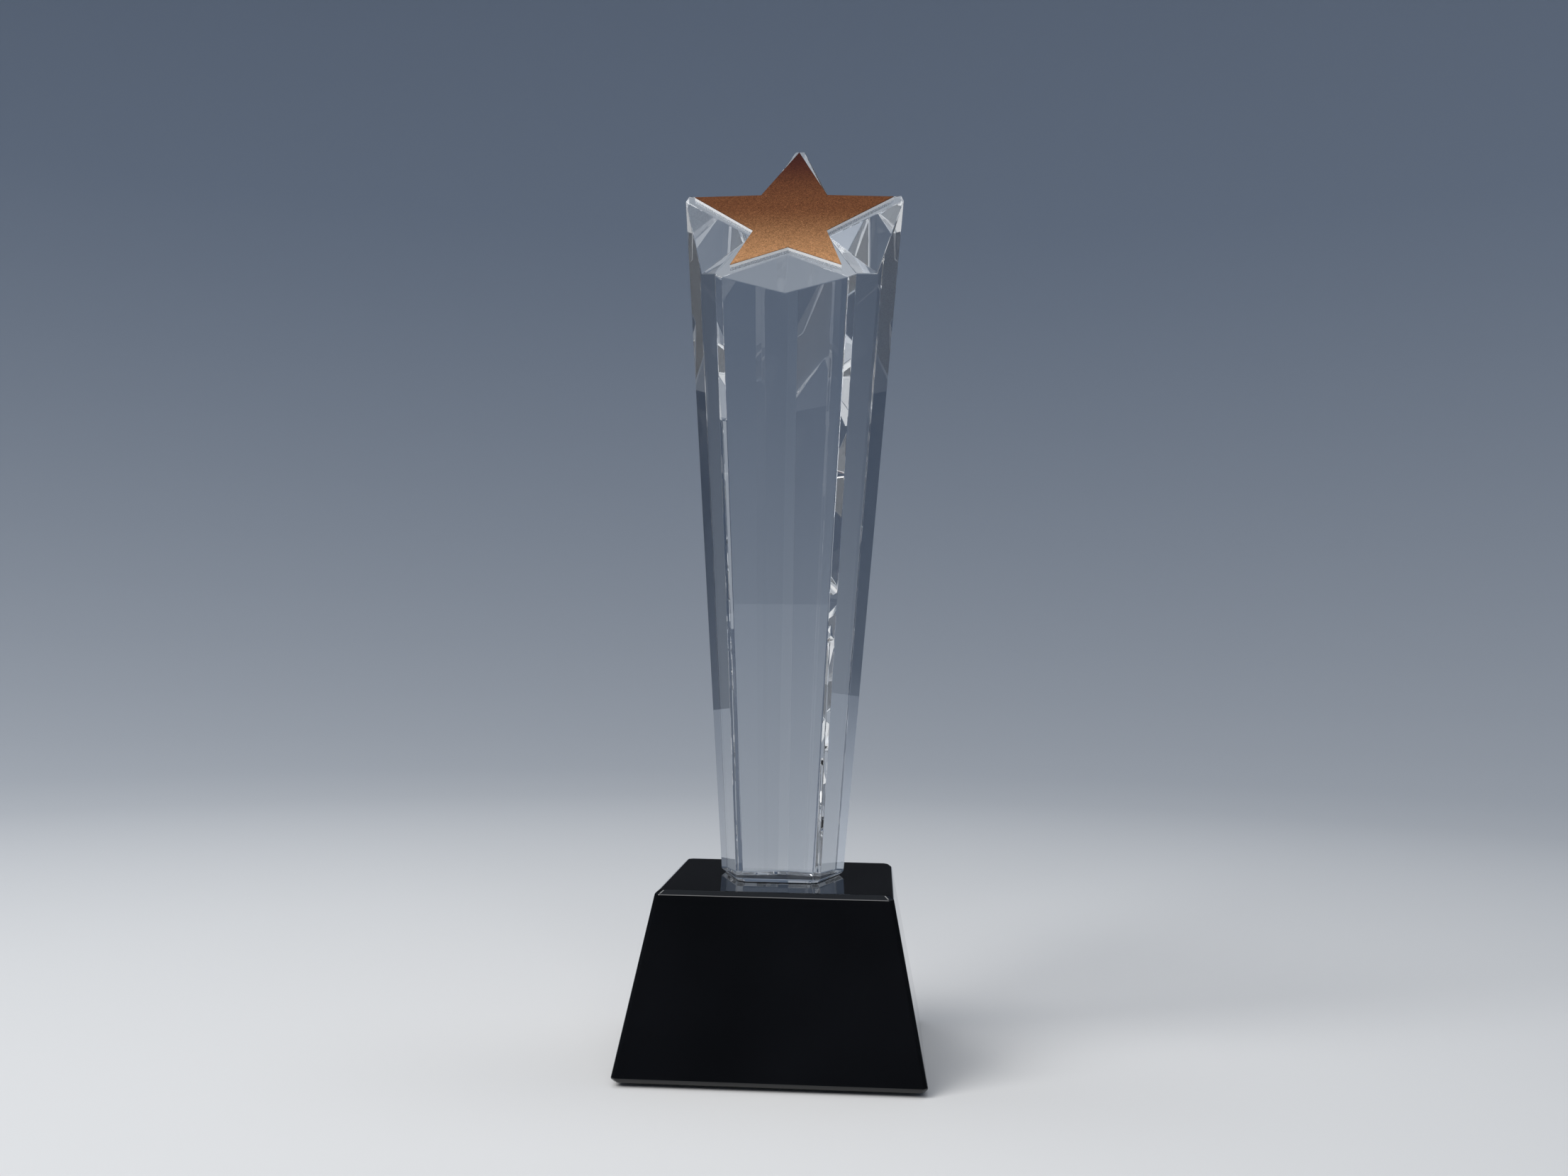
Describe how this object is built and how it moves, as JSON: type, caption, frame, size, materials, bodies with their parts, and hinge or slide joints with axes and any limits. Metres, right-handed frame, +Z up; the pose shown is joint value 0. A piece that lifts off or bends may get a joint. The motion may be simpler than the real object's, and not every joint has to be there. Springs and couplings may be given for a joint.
{
  "type": "star trophy",
  "caption": "Tapered five-sided clear crystal column with a slanted, notched star top faced in bronze, glued on a square black crystal plinth with low pads.",
  "frame": {"origin": "middle of the footprint, on the surface that the pads stand on", "axes": "+Z up along the column, -Y towards the front that the star faces, +X to the viewer's right"},
  "size_m": [0.0746, 0.0746, 0.248],
  "materials": {
    "black_crystal": "mirror polished opaque black glass",
    "pad": "matt anti-slip pad",
    "adhesive": "clear cured adhesive film",
    "clear_crystal": "polished clear optical crystal",
    "star_edge": "translucent pale cut edge",
    "bronze": "fine-grained bronze, slightly sparkling"
  },
  "bodies": {
    "root": {"black_base": "black_crystal", "foot_pad_1": "pad", "foot_pad_2": "pad", "foot_pad_3": "pad", "foot_pad_4": "pad", "column_bond": "adhesive", "crystal_column": "clear_crystal", "star_backing": "star_edge", "star_face": "bronze"}
  },
  "joints": []
}
